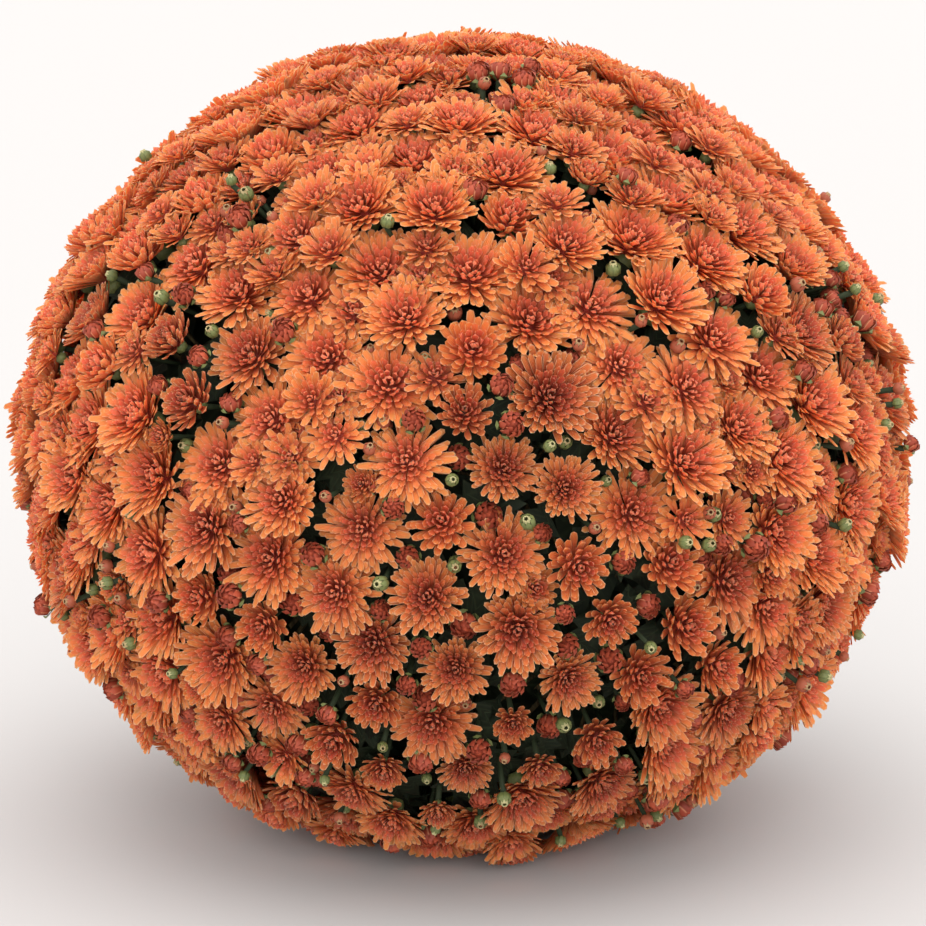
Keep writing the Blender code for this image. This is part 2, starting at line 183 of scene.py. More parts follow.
def newShape():
    bm = bmesh.new()
    # the place across the blade and along it, and -1 on the ridge
    bm.verts.layers.float_vector.new("petal")
    # how near the bloom's middle, the petal's tone, which is 2 to 3 on green buds, and the bloom's rust
    # and painted shade
    bm.verts.layers.float_vector.new("bloom")
    return bm


def paintFaces(verts, slot):
    for face in {f for vert in verts for f in vert.link_faces}:
        face.material_index = slot
        face.smooth = True


def addBlade(bm, outline, line, width, cup, keel, turn=0.0, roll=0.0, sway=0.0, slot=0, note=(0, 0)):
    # line holds the base, the bulge and the tip, each as a reach from the middle and a height.
    # The blade's edges are raised by cup, and its ridge stands keel above the flat between them.
    base, bulge, tip = (Vector(p) for p in line)
    petal, bloom = (bm.verts.layers.float_vector[name] for name in ("petal", "bloom"))
    steps = len(outline) - 1
    sides = blade["sides"]
    made = bmesh.ops.create_uvsphere(bm, u_segments=sides, v_segments=steps, radius=1.0)["verts"]
    outwards, upwards = Vector((math.cos(turn), math.sin(turn), 0)), Vector((0, 0, 1))
    for vert in made:
        x, y, z = vert.co
        onRidge = x > blade["ridgeBeyond"]
        onEdge = math.hypot(x, y) > blade["poleWithin"] and not onRidge
        across = math.copysign(1, y) if onEdge else 0
        station = round((1 - math.acos(max(-1.0, min(1.0, z))) / math.pi) * steps)
        along, share = outline[station]
        middle = base * (1 - along) ** 2 + bulge * 2 * along * (1 - along) + tip * along ** 2
        heading = ((bulge - base) * (1 - along) + (tip - bulge) * along).normalized()
        ahead = outwards * heading.x + upwards * heading.y
        above = upwards * heading.x - outwards * heading.y
        beside = above.cross(ahead)
        flat = beside * math.cos(roll) + above * math.sin(roll)
        lifted = above * math.cos(roll) - beside * math.sin(roll)
        vert.co = outwards * middle.x + upwards * middle.y + beside * sway * along ** 2
        vert.co += flat * across * width * share / 2 + lifted * abs(across) * cup * width * share
        if onRidge:
            vert.co += lifted * keel
        vert[petal] = Vector((across, along, -onRidge))
        vert[bloom] = Vector((*note, 0))
    paintFaces(made, slot)


smallBall = {"around": 6, "upwards": 3}


def addSmallBall(bm, halfWidth, halfHeight, place, slot):
    matrix = place @ Matrix.Diagonal((halfWidth, halfWidth, halfHeight, 1))
    around, upwards = smallBall["around"], smallBall["upwards"]
    made = bmesh.ops.create_uvsphere(bm, u_segments=around, v_segments=upwards, radius=1.0, matrix=matrix)
    paintFaces(made["verts"], slot)
    return made["verts"]


def addHeart(bm, halfWidth, halfHeight, height, slot=0):
    # the ball under the petals' feet, which closes the bloom's middle
    bloom = bm.verts.layers.float_vector["bloom"]
    for vert in addSmallBall(bm, halfWidth, halfHeight, Matrix.Translation((0, 0, height)), slot):
        vert[bloom] = Vector((1, 0, 0))


def finishShape(name, bm):
    for edge in bm.edges:
        edge.smooth = edge.calc_face_angle(0.0) < blade["creaseFrom"]
    mesh = bpy.data.meshes.new(name)
    bm.to_mesh(mesh)
    bm.free()
    return mesh


# What every bloom has in common, in shares of its radius: petals in layers round a tight knot
bloomHabit = {
    "feet": ((0.12, -0.16), (0.01, 0.02)),   # reach and height, outermost and innermost
    "crown": 0.36,             # height of the middle
    "cups": (0.06, 0.22),      # outermost and innermost
    "widths": (0.88, 1.08),
    "reachRange": (0.86, 1.08),
    "riseShortens": 0.2,       # the share of its reach that a petal loses by a rise of 1
    "bulgeRise": 0.35,         # the share of the rise that the petal's bulge takes up
    "liftJitter": 0.045,
    "rollJitter": 0.30,
    "swayJitter": 0.07,
    "strays": 0.14,            # share of the outer petals that stand away from the others
    "strayLayers": 2,
    "strayLift": 0.15,
    "strayWays": (-0.6, 1),    # down and up
}

# Open blooms, shallow bowls
openBloom = {
    **bloomHabit,
    # how far the outer petals rise, one shape for each: flat open blooms first, younger ones last
    "rises": (-0.03, 0.07, 0.15, 0.22, 0.28, 0.34, 0.40),
    # petals, tip's reach and height, bulge's reach and height, width, and each petal's outline
    "layers": (
        (18, 1.00, 0.00, 0.60, 0.01, 0.162, petalOutline),
        (18, 0.93, 0.07, 0.58, 0.06, 0.160, petalOutline),
        (17, 0.84, 0.13, 0.55, 0.10, 0.156, innerOutline),
        (16, 0.73, 0.19, 0.52, 0.13, 0.150, innerOutline),
        (14, 0.61, 0.25, 0.50, 0.15, 0.146, knotOutline),
        (13, 0.49, 0.30, 0.47, 0.16, 0.138, knotOutline),
        (12, 0.38, 0.335, 0.43, 0.18, 0.130, knotOutline),
        (10, 0.27, 0.36, 0.37, 0.22, 0.122, knotOutline),
        (8, 0.16, 0.375, 0.29, 0.26, 0.114, knotOutline),
        (5, 0.03, 0.375, 0.20, 0.29, 0.120, knotOutline),
    ),
    "heart": (0.24, 0.12, -0.08),    # half width, half height and height of the ball under the feet
    "keel": -0.022,                  # the petals are ridged behind
    "turnJitter": (0.16, 0.07),      # of the outermost layer and of the others
}

# Small blooms between the others, with fewer petals
smallBloom = {
    **bloomHabit,
    "rises": (0.04, 0.14, 0.24, 0.34),
    "layers": (
        (13, 1.00, 0.02, 0.62, 0.02, 0.225, petalOutline),
        (12, 0.86, 0.11, 0.57, 0.07, 0.215, petalOutline),
        (10, 0.70, 0.19, 0.52, 0.11, 0.200, knotOutline),
        (9, 0.52, 0.28, 0.46, 0.15, 0.185, knotOutline),
        (7, 0.34, 0.33, 0.40, 0.19, 0.170, knotOutline),
        (5, 0.17, 0.36, 0.30, 0.24, 0.160, knotOutline),
        (4, 0.03, 0.36, 0.20, 0.28, 0.150, knotOutline),
    ),
    "heart": (0.26, 0.12, -0.08),
    "keel": -0.028,
    "turnJitter": (0.16, 0.08),
}

# Half-open blooms: small rosettes of upright petals
cupBloom = {
    **bloomHabit,
    "rises": (0.00, 0.04, 0.08, 0.12),
    "layers": (
        (13, 0.92, 0.22, 0.74, -0.04, 0.25, petalOutline),
        (12, 0.79, 0.36, 0.70, 0.04, 0.24, innerOutline),
        (11, 0.65, 0.46, 0.64, 0.12, 0.23, innerOutline),
        (9, 0.50, 0.52, 0.56, 0.18, 0.22, knotOutline),
        (8, 0.35, 0.56, 0.47, 0.24, 0.21, knotOutline),
        (6, 0.19, 0.57, 0.35, 0.30, 0.20, knotOutline),
        (5, 0.03, 0.56, 0.22, 0.34, 0.18, knotOutline),
    ),
    "feet": ((0.08, -0.22), (0.01, 0.00)),
    "heart": (0.24, 0.16, -0.12),
    "crown": 0.56,
    "cups": (0.12, 0.24),
    "keel": -0.030,
    "turnJitter": (0.12, 0.08),
    "reachRange": (0.88, 1.07),
    "rollJitter": 0.28,
    "swayJitter": 0.06,
    "strays": 0.08,
    "strayLift": 0.12,
}


def addLayer(bm, rng, kind, k, start, rise):
    count, reach, height, bulgeReach, bulgeHeight, width, outline = kind["layers"][k]
    inner = k / (len(kind["layers"]) - 1)
    risen = rise * (1 - inner)
    foot = Vector(kind["feet"][0]).lerp(Vector(kind["feet"][1]), inner)
    turnJitter = kind["turnJitter"][0 if k == 0 else 1]
    for n in range(count):
        longer = rng.uniform(*kind["reachRange"]) * (1 - kind["riseShortens"] * risen)
        lift = jitter(rng, kind["liftJitter"])
        if k < kind["strayLayers"] and rng.random() < kind["strays"]:
            lift += kind["strayLift"] * rng.choice(kind["strayWays"])
        bulge = (bulgeReach * longer, bulgeHeight + kind["bulgeRise"] * risen + lift / 2)
        tip = (reach * longer, height + risen + lift)
        addBlade(
            bm, outline, (foot, bulge, tip), width * rng.uniform(*kind["widths"]),
            between(*kind["cups"], inner), kind["keel"],
            turn=start + math.tau * n / count + jitter(rng, turnJitter),
            roll=jitter(rng, kind["rollJitter"]),
            sway=jitter(rng, kind["swayJitter"]),
            note=(inner, rng.random()),
        )


def bloomShape(name, seed, kind):
    rng = random.Random(seed)
    bm = newShape()
    start = rng.uniform(0, math.tau)
    for k, layer in enumerate(kind["layers"]):
        start += math.pi / layer[0]    # half a petal on from the layer outside it
        addLayer(bm, rng, kind, k, start, kind["rises"][seed])
    addHeart(bm, *kind["heart"])
    return finishShape(name, bm)


# Buds, in shares of a bud's radius
openingBud = {
    "variants": 3,
    # petals, tip's reach and height, bulge's reach, and each petal's outline
    "layers": (
        (9, 0.66, 0.80, 1.60, broadOutline),
        (7, 0.34, 0.86, 1.20, knotOutline),
        (4, 0.02, 0.88, 0.80, knotOutline),
    ),
    "core": (0.86, 0.80, -0.04),   # half width, half height and height
    "foot": (0.10, -0.90),
    "bulgeHeight": 0.00,
    "heights": (0.94, 1.06),       # shares of a tip's height
    "petalWidth": 0.76,
    "turnJitter": 0.08,
    "roll": (0.10, 0.42),
    "bracts": 5,
    "bractWidth": 0.80,
    "bractLine": ((0.05, -1.12), (1.50, -1.05), (1.02, 0.02)),
    "bractTurnJitter": 0.1,
    "cup": 0.05,
    "keel": -0.10,
}
greenBud = {
    "bracts": 7,
    "bractWidth": 0.90,
    "bractLine": ((0.05, -1.05), (1.70, -0.40), (0.40, 0.74)),
    "bractTurnJitter": 0.1,
    "starPetals": 7,
    "starWidth": 0.42,
    "starLine": ((0.60, 0.30), (0.68, 0.92), (0.20, 0.84)),   # a ring with a dark middle
    "starTones": (2.0, 2.25, 2.5),   # one bud shape for each: 2 is cream and 3 is pink
    "pinkShape": 2,                  # its bracts are pink too
    "pinkTone": 3,
    "cup": 0.05,
    "keel": -0.10,
}


def addBracts(bm, rng, bud, outline, slot, tone):
    for n in range(bud["bracts"]):
        addBlade(
            bm, outline, bud["bractLine"], bud["bractWidth"], bud["cup"], bud["keel"],
            turn=math.tau * n / bud["bracts"] + jitter(rng, bud["bractTurnJitter"]),
            slot=slot, note=(0, tone),
        )


def openingBudShape(name, seed):
    bud = openingBud
    rng = random.Random(seed)
    bm = newShape()
    for k, (count, reach, height, bulge, outline) in enumerate(bud["layers"]):
        for n in range(count):
            tip = (reach, height * rng.uniform(*bud["heights"]))
            addBlade(
                bm, outline, (bud["foot"], (bulge, bud["bulgeHeight"]), tip),
                bud["petalWidth"], bud["cup"], bud["keel"],
                turn=math.tau * (n + k / 2) / count + jitter(rng, bud["turnJitter"]),
                roll=rng.uniform(*bud["roll"]),
                slot=branchSlots["petal"],
                note=(k, rng.random()),
            )
    addHeart(bm, *bud["core"], branchSlots["petal"])
    addBracts(bm, rng, bud, knotOutline, branchSlots["green"], 0)
    return finishShape(name, bm)


def greenBudShape(name, seed):
    bud = greenBud
    rng = random.Random(seed)
    bm = newShape()
    if seed == bud["pinkShape"]:
        addBracts(bm, rng, bud, broadOutline, branchSlots["petal"], bud["pinkTone"])
    else:
        addBracts(bm, rng, bud, broadOutline, branchSlots["green"], 0)
    for n in range(bud["starPetals"]):
        addBlade(
            bm, knotOutline, bud["starLine"], bud["starWidth"], bud["cup"], bud["keel"],
            turn=math.tau * (n + 1 / 2) / bud["starPetals"],
            slot=branchSlots["petal"], note=(0, bud["starTones"][seed]),
        )
    return finishShape(name, bm)


# Leaves, one long
leaf = {
    "variants": 4,
    "width": 0.62,
    "cup": 0.05,
    "keel": -0.014,
    "archRange": (0.06, 0.22),
    "swayRange": (-0.12, 0.12),
}


def leafShape(name, seed, outline):
    rng = random.Random(seed)
    bm = newShape()
    line = ((0, 0), (1 / 2, rng.uniform(*leaf["archRange"])), (1, 0))
    addBlade(
        bm, outline, line, leaf["width"], leaf["cup"], leaf["keel"],
        sway=rng.uniform(*leaf["swayRange"]), slot=branchSlots["leaf"], note=(0, rng.random()),
    )
    return finishShape(name, bm)


def makeShapes(name, count, build, *settings):
    return [build(f"{name}{seed}", seed, *settings) for seed in range(count)]


bloomKinds = {"openBloom": openBloom, "smallBloom": smallBloom, "cupBloom": cupBloom}
shapes = {
    kindName: makeShapes(kindName, len(kind["rises"]), bloomShape, kind)
    for kindName, kind in bloomKinds.items()
}
shapes["openingBud"] = makeShapes("openingBud", openingBud["variants"], openingBudShape)
shapes["greenBud"] = makeShapes("greenBud", len(greenBud["starTones"]), greenBudShape)
shapes["leaf"] = makeShapes("leaf", leaf["variants"], leafShape, leafOutline)
shapes["innerLeaf"] = makeShapes("innerLeaf", 1, leafShape, broadOutline)
for shapeName, made in shapes.items():
    print("shape", shapeName, "has", sum(len(p.vertices) - 2 for p in made[0].polygons), "triangles")


# Petal, leaf and stalk finishes
def fromScreen(red, green, blue):
    def linear(value):
        share = value / 255
        return share / 12.92 if share <= 0.04045 else ((share + 0.055) / 1.055) ** 2.4
    return (linear(red), linear(green), linear(blue), 1)


def newFinish(name, look):
    material = bpy.data.materials.new(name)
    material.use_nodes = True
    shader = material.node_tree.nodes["Principled BSDF"]
    shader.inputs["Roughness"].default_value = look["roughness"]
    shader.inputs["Specular IOR Level"].default_value = look["specular"]
    return material, material.node_tree, shader


def addNode(tree, kind, inputs=None, **settings):
    node = tree.nodes.new("ShaderNode" + kind)
    for key, value in settings.items():
        setattr(node, key, value)
    for key, value in (inputs or {}).items():
        if isinstance(value, bpy.types.NodeSocket):
            tree.links.new(value, node.inputs[key])
        else:
            node.inputs[key].default_value = value
    return node


def calculate(tree, operation, first, second=0.0):
    return addNode(tree, "Math", {0: first, 1: second}, operation=operation).outputs[0]


def times(tree, first, second):
    return calculate(tree, "MULTIPLY", first, second)


def ranged(tree, value, low, high, toLow=0.0, toHigh=1.0):
    names = ("Value", "From Min", "From Max", "To Min", "To Max")
    return addNode(tree, "MapRange", dict(zip(names, (value, low, high, toLow, toHigh)))).outputs[0]


def blend(tree, amount, under, over, how="MIX"):
    node = addNode(tree, "Mix", {0: amount, 6: under, 7: over}, data_type="RGBA", blend_type=how)
    return node.outputs[2]


def shaded(tree, colour, factor):
    grey = addNode(tree, "CombineColor", {0: factor, 1: factor, 2: factor}).outputs[0]
    return blend(tree, 1.0, colour, grey, "MULTIPLY")


def ramp(tree, value, stops):
    node = addNode(tree, "ValToRGB", {0: value})
    points = node.color_ramp.elements
    while len(points) < len(stops):
        points.new(1.0)
    for point, (place, colour) in zip(points, stops):
        point.position = place
        point.color = colour
    return node.outputs[0]


def readAttribute(tree, name):
    vector = addNode(tree, "Attribute", attribute_name=name).outputs["Vector"]
    return addNode(tree, "SeparateXYZ", {0: vector}).outputs


def placeOnPiece(tree):
    return addNode(tree, "TexCoord").outputs["Object"]


def grainAt(tree, place, scale, detail):
    return addNode(tree, "TexNoise", {"Vector": place, "Scale": scale, "Detail": detail}).outputs[0]


def joinUp(tree, shader, colour, height, bump, invert=False):
    # bump is the strength of the relief and its depth in metres
    inputs = {"Height": height, "Strength": bump[0], "Distance": bump[1]}
    relief = addNode(tree, "Bump", inputs, invert=invert)
    tree.links.new(relief.outputs[0], shader.inputs["Normal"])
    tree.links.new(colour, shader.inputs["Base Color"])


petalFinish = {
    # redder towards the petal's foot, partly its own colour and partly painted shade where the petals
    # overlap
    "alongPetal": (
        (0.00, fromScreen(238, 95, 60)),
        (0.40, fromScreen(248, 118, 74)),
        (0.72, fromScreen(240, 131, 69)),
        (1.00, fromScreen(233, 134, 69)),
    ),
    "middle": fromScreen(240, 108, 78),      # of the bloom
    "middlePaintedShade": fromScreen(138, 46, 36),   # painted shade between its petals, at their feet
    "middleFrom": (0.30, 0.68),
    "middleShare": 0.90,
    "paintedShadeUntil": (0.45, 0.95),               # along the petal: painted shade before these, the middle's own colour past them
    # rust of old blooms, and painted shade on blooms in shade, in one colour
    "rustAndShade": fromScreen(118, 42, 32),
    "rustAndShadeShare": 0.86,
    "rustAndShadeTips": (0.30, 1.0, 1.0, 0.42),     # along the petal from and until, and the share of rust and painted shade there
    "tones": (0.92, 1.05),
    # pale rim: partly the petal's paler edge, partly painted highlight
    "rim": fromScreen(228, 175, 142),
    "rimShare": 0.62,
    "rimWithin": 0.70,                       # share of the half width that has no rim
    "rimFrom": (0.40, 0.90),                 # along the petal: none before these, whole past them
    "tipFrom": 0.93,                         # along the petal, where the rim runs round the tip
    "veins": 17.0,                           # angle of their wave, from the petal's middle to an edge
    "grain": (4500.0, 2.0),                  # scale and detail
    "reliefRange": (-1.0, 2.0),              # of veins and grain together
    "reliefTones": (0.94, 1.05),
    "reliefHeight": 0.25,
    "groove": 1.6,                           # depth along the petal's middle, for its veins' height of 1
    "bump": (0.6, 0.0008),
    "reverse": fromScreen(236, 142, 106),
    "reverseShare": 0.45,
    "roughness": 0.60,
    "specular": 0.20,
    "glow": 0.50,                            # light that passes into the petals and comes out redder
    "glowColour": (1.00, 0.30, 0.12),
    "glowReach": 0.004,
}


def petalMaterial(name):
    look = petalFinish
    material, tree, shader = newFinish(name, look)
    shader.inputs["Subsurface Weight"].default_value = look["glow"]
    shader.inputs["Subsurface Radius"].default_value = look["glowColour"]
    shader.inputs["Subsurface Scale"].default_value = look["glowReach"]
    across, along, face = readAttribute(tree, "petal")[:3]
    inner, petalTone, bloomTone = readAttribute(tree, "bloom")[:3]
    colour = ramp(tree, along, look["alongPetal"])
    # towards the bloom's middle the petals are redder, with painted shade at their feet, between them
    towardsMiddle = ranged(tree, inner, *look["middleFrom"], 0.0, look["middleShare"])
    middle = blend(tree, ranged(tree, along, *look["paintedShadeUntil"]), look["middlePaintedShade"], look["middle"])
    colour = blend(tree, towardsMiddle, colour, middle)
    # old blooms are rusty, and blooms in shade get painted shade in the same colour, least so at the tips
    # of their outer petals
    rustAndShadeHere = calculate(tree, "MAXIMUM", ranged(tree, along, *look["rustAndShadeTips"]), inner)
    rustAndShadeAmount = times(tree, times(tree, bloomTone, look["rustAndShadeShare"]), rustAndShadeHere)
    colour = blend(tree, rustAndShadeAmount, colour, look["rustAndShade"])
    # no two petals are quite alike
    colour = shaded(tree, colour, ranged(tree, petalTone, 0, 1, *look["tones"]))
    # pale rim on the outer half of the petal and round its tip, partly the petal's paler edge and partly
    # painted highlight
    edge = calculate(tree, "ABSOLUTE", across)
    rim = ranged(tree, edge, look["rimWithin"], 1.0, 0.0, look["rimShare"])
    rim = times(tree, rim, ranged(tree, along, *look["rimFrom"]))
    tipRim = ranged(tree, along, look["tipFrom"], 1.0, 0.0, look["rimShare"])
    rim = calculate(tree, "MAXIMUM", rim, tipRim)
    colour = blend(tree, rim, colour, look["rim"])
    # veins run along the petal, in its hollow
    veins = calculate(tree, "SINE", times(tree, across, look["veins"]))
    relief = calculate(tree, "ADD", veins, grainAt(tree, placeOnPiece(tree), *look["grain"]))
    colour = shaded(tree, colour, ranged(tree, relief, *look["reliefRange"], *look["reliefTones"]))
    # the reverse is paler and duller
    reverse = times(tree, ranged(tree, face, 0, -1), look["reverseShare"])
    colour = blend(tree, reverse, colour, look["reverse"])
    hollow = times(tree, times(tree, edge, edge), look["groove"])
    height = calculate(tree, "ADD", times(tree, relief, look["reliefHeight"]), hollow)
    joinUp(tree, shader, colour, height, look["bump"])
    return material


budFinish = {
    "outer": fromScreen(134, 52, 34),
    "middle": fromScreen(174, 76, 48),
    "pale": fromScreen(214, 142, 104),       # the petals' edges
    "paleFrom": 0.62,                        # share of the half width
    "paleShare": 0.85,
    "star": fromScreen(176, 168, 120),
    "starPink": fromScreen(156, 80, 54),
    "starFrom": 1.5,                         # petals of a higher tone are a green bud's
    "grain": (4800.0, 2.0),
    "bump": (0.2, 0.0004),
    "roughness": 0.60,
    "specular": 0.35,
}


def budMaterial(name):
    look = budFinish
    material, tree, shader = newFinish(name, look)
    across = readAttribute(tree, "petal")[0]
    petalTone = readAttribute(tree, "bloom")[1]
    colour = blend(tree, ranged(tree, petalTone, 0, 1), look["outer"], look["middle"])
    rim = ranged(tree, calculate(tree, "ABSOLUTE", across), look["paleFrom"], 1.0, 0.0, look["paleShare"])
    colour = blend(tree, rim, colour, look["pale"])
    star = blend(tree, ranged(tree, petalTone, 2, 3), look["star"], look["starPink"])
    colour = blend(tree, calculate(tree, "GREATER_THAN", petalTone, look["starFrom"]), colour, star)
    joinUp(tree, shader, colour, grainAt(tree, placeOnPiece(tree), *look["grain"]), look["bump"])
    return material


leafFinish = {
    "blade": fromScreen(30, 36, 26),
    "young": fromScreen(44, 52, 33),
    "vein": fromScreen(60, 70, 46),
    "under": fromScreen(42, 48, 36),
    "patches": (240.0, 3.0),
    "midVein": 0.10,                         # half width, as a share of the leaf's
    "sideVeins": 30.0,                       # angle of their wave along the leaf
    "sideSlant": 5.0,
    "sideSharpness": 9.0,
    "sideHeight": 0.45,
    "veinShare": 0.5,
    "bump": (0.4, 0.0006),
    "roughness": 0.60,
    "specular": 0.12,
}


def leafMaterial(name):
    look = leafFinish
    material, tree, shader = newFinish(name, look)
    across, along, face = readAttribute(tree, "petal")[:3]
    tone = readAttribute(tree, "bloom")[1]
    patches = grainAt(tree, placeOnPiece(tree), *look["patches"])
    colour = blend(tree, times(tree, patches, tone), look["blade"], look["young"])
    edge = calculate(tree, "ABSOLUTE", across)
    slanted = times(tree, edge, look["sideSlant"])
    wave = calculate(tree, "SUBTRACT", times(tree, along, look["sideVeins"]), slanted)
    crest = calculate(tree, "ABSOLUTE", calculate(tree, "SINE", wave))
    sideVeins = calculate(tree, "POWER", crest, look["sideSharpness"])
    midVein = ranged(tree, edge, 0.0, look["midVein"], 1.0, 0.0)
    veins = calculate(tree, "MAXIMUM", times(tree, sideVeins, look["sideHeight"]), midVein)
    colour = blend(tree, times(tree, veins, look["veinShare"]), colour, look["vein"])
    colour = blend(tree, ranged(tree, face, 0, -1), colour, look["under"])
    joinUp(tree, shader, colour, veins, look["bump"], invert=True)
    return material


# bracts and calyxes
greenFinish = {
    "light": fromScreen(126, 130, 76),
    "dark": fromScreen(76, 86, 46),
    "patches": (880.0, 3.0),
    "edgeFrom": 0.6,                         # share of the half width
    "edgeShare": 0.7,
    "bump": (0.3, 0.0004),
    "roughness": 0.55,
    "specular": 0.35,
}


def greenMaterial(name):
    look = greenFinish
    material, tree, shader = newFinish(name, look)
    across = readAttribute(tree, "petal")[0]
    patches = grainAt(tree, placeOnPiece(tree), *look["patches"])
    colour = blend(tree, patches, look["dark"], look["light"])
    edge = ranged(tree, calculate(tree, "ABSOLUTE", across), look["edgeFrom"], 1.0, 0.0, look["edgeShare"])
    colour = blend(tree, edge, colour, look["dark"])
    joinUp(tree, shader, colour, patches, look["bump"])
    return material


barkFinish = {
    "tones": ((0.35, fromScreen(52, 42, 28)), (0.65, fromScreen(96, 82, 52))),
    "ridges": (420.0, 5.0),
    "drawnOut": (1, 1, 0.2),                 # the ridges run up the stem
    "bump": (0.7, 0.0010),
    "roughness": 0.85,
    "specular": 0.20,
}


def barkMaterial(name):
    look = barkFinish
    material, tree, shader = newFinish(name, look)
    place = addNode(tree, "Mapping", {"Vector": placeOnPiece(tree), "Scale": look["drawnOut"]}).outputs[0]
    ridges = grainAt(tree, place, *look["ridges"])
    joinUp(tree, shader, ramp(tree, ridges, look["tones"]), ridges, look["bump"])
    return material


finishes = {
    "petal": petalMaterial("orangePetals"),
    "bud": budMaterial("budPetals"),
    "leaf": leafMaterial("leafBlades"),
    "green": greenMaterial("greenBracts"),
    "bark": barkMaterial("stemBark"),
}
print("finishes made")


# Putting shapes together
pressed = {"height": 0.006}     # under this, the plant's weight presses everything flat


def addCopy(bm, shape, matrix, tone=None):
    copied = shape.copy()
    copied.transform(matrix)
    if tone is not None:
        notes = copied.attributes["bloom"].data
        values = np.zeros(len(notes) * 3, dtype=np.float32)
        notes.foreach_get("vector", values)
        values[2::3] = tone
        notes.foreach_set("vector", values)
    bm.from_mesh(copied)
    bpy.data.meshes.remove(copied)


def standing(point, facing, size, turn):
    turned = facing.to_track_quat("Z", "Y").to_matrix().to_4x4() @ Matrix.Rotation(turn, 4, "Z")
    return Matrix.Translation(point) @ turned @ Matrix.Scale(size, 4)


def pressUnderside(bm):
    height = pressed["height"]
    for vert in bm.verts:
        if vert.co.z < height:
            vert.co.z = height * math.exp((vert.co.z - height) / height)


def addPiece(name, bm, materials, nodeName):
    pressUnderside(bm)
    mesh = bpy.data.meshes.new(name)
    bm.to_mesh(mesh)
    bm.free()
    for material in materials:
        mesh.materials.append(material)
    piece = bpy.data.objects.new(name, mesh)
    bpy.context.scene.collection.objects.link(piece)
    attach(piece, "root")
    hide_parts(nodeName)
    return sum(len(p.vertices) - 2 for p in mesh.polygons)


# Where the plant is more open: fewer full blooms, more half-open ones, buds and dark gaps, and more rust
# and painted shade on the blooms
openings = {
    "steepness": 1.6,    # how fast a stretch opens, from its border inwards
    # each stretch is a direction from the ball's middle, and how many degrees it reaches round that
    "stretches": (
        ((0.00, -1.00, -0.52), 44),
        ((0.16, -0.95, 0.22), 15),
        ((-0.55, -0.75, 0.36), 12),
        ((-0.82, -0.40, 0.42), 10),
        ((0.80, -0.42, 0.42), 10),
        ((0.80, 0.60, -0.30), 30),
        ((-0.70, 0.75, 0.05), 24),
    ),
}


def opennessAt(point):
    direction = onUnitBall(point).normalized()
    shares = [
        1 - math.degrees(direction.angle(Vector(middle))) / reach
        for middle, reach in openings["stretches"]
    ]
    return min(1.0, openings["steepness"] * max(0.0, *shares))


# Sprays of blooms. A pair of values is the least and the most, or, where its note says so,
# the one where the plant is dense and the one where it is open.
spray = {
    "fuller": 1.35,               # a bloom's radius for its solid's reach
    "radiusRange": (0.0205, 0.0285),
    "openShrink": 0.38,           # the most that a bloom is smaller where it is open
    "facingUp": (0.10, 0.46),     # slope of a bloom's face towards the sky, at the top and the foot
    "facingAside": 0.15,
    "sink": (0.0030, 0.0085),
    "rustAndShadeShare": (0.05, 0.45),   # of the blooms with rust and painted shade, dense and open
    "rustAndShadeTones": (0.40, 0.90),
    "freshTones": (0.00, 0.16),
    # rust and painted shade added to the blooms where the plant is open
    "openRustAndShade": 0.70,
    "cupShare": (0.10, 0.45),     # of the blooms, still half open, dense and open
    "cupRadius": 0.72,
    # half-open blooms get a little more rust and painted shade
    "cupRustAndShade": 0.15,
    "cupRise": 0.001,
    "discDepth": 0.014,           # of the blooms' middles
    "leastRoom": (-0.0042, 0.0140),   # between blooms for another one, dense and open
    "valleySeed": 500,
    "valleyCups": 0.060,          # share of the other valleys with a half-open bloom
    "valleyRadii": (0.0145, 0.0195),
    "valleySink": (0.003, 0.010),
    # rust and painted shade of the blooms between the others
    "valleyTone": (0.10, 0.70),
    "gapBlooms": 0.75,            # share of the gaps with a bloom, where it is dense
    "gapKinds": ("smallBloom", "smallBloom", "cupBloom"),
    "gapRadii": (0.0165, 0.0205),
}


def bloomLook(rng, point, radius, kindName, sink, tone):
    normal = outwardsAt(point)
    lean = randomLean(rng, spray["facingAside"])
    up = between(*spray["facingUp"], (1 - normal.z) / 2)
    return {
        "shape": rng.choice(shapes[kindName]),
        "centre": point - normal * (bloomKinds[kindName]["crown"] * radius + sink),
        "facing": (normal + skywardAt(normal) * up + lean).normalized(),
        "radius": radius,
        "turn": rng.uniform(0, math.tau),
        "tone": tone,
    }


def bloomOnSolid(rng, point, reach):
    openness = opennessAt(point)
    least, most = spray["radiusRange"]
    radius = min(max(reach * spray["fuller"], least), most)
    radius *= 1 - spray["openShrink"] * openness * rng.random()
    # the bloom's rust, with painted shade added where the plant is open and on half-open blooms
    hasRustAndShade = rng.random() < between(*spray["rustAndShadeShare"], openness)
    tone = rng.uniform(*spray["rustAndShadeTones" if hasRustAndShade else "freshTones"])
    tone = min(1, tone + spray["openRustAndShade"] * openness)
    if rng.random() < between(*spray["cupShare"], openness):
        tone = min(1, tone + spray["cupRustAndShade"])
        look = bloomLook(rng, point, radius * spray["cupRadius"], "cupBloom", -spray["cupRise"], tone)
    else:
        look = bloomLook(rng, point, radius, "openBloom", rng.uniform(*spray["sink"]), tone)
    return {**look, "place": "solid", "foundAt": point}


def bloomBetween(rng, point, kindName, place):
    skin = atDepth(point, rng.uniform(*spray["valleySink"]))
    radius = rng.uniform(*spray[place + "Radii"])
    radius *= spray["cupRadius"] if kindName == "cupBloom" else 1
    # blooms between the others get rust and painted shade
    look = bloomLook(rng, skin, radius, kindName, 0, rng.uniform(*spray["valleyTone"]))
    return {**look, "place": place, "foundAt": point}


def roomAt(point, looks):
    disc = atDepth(point, spray["discDepth"])
    return min((disc - look["centre"]).length - look["radius"] for look in looks)


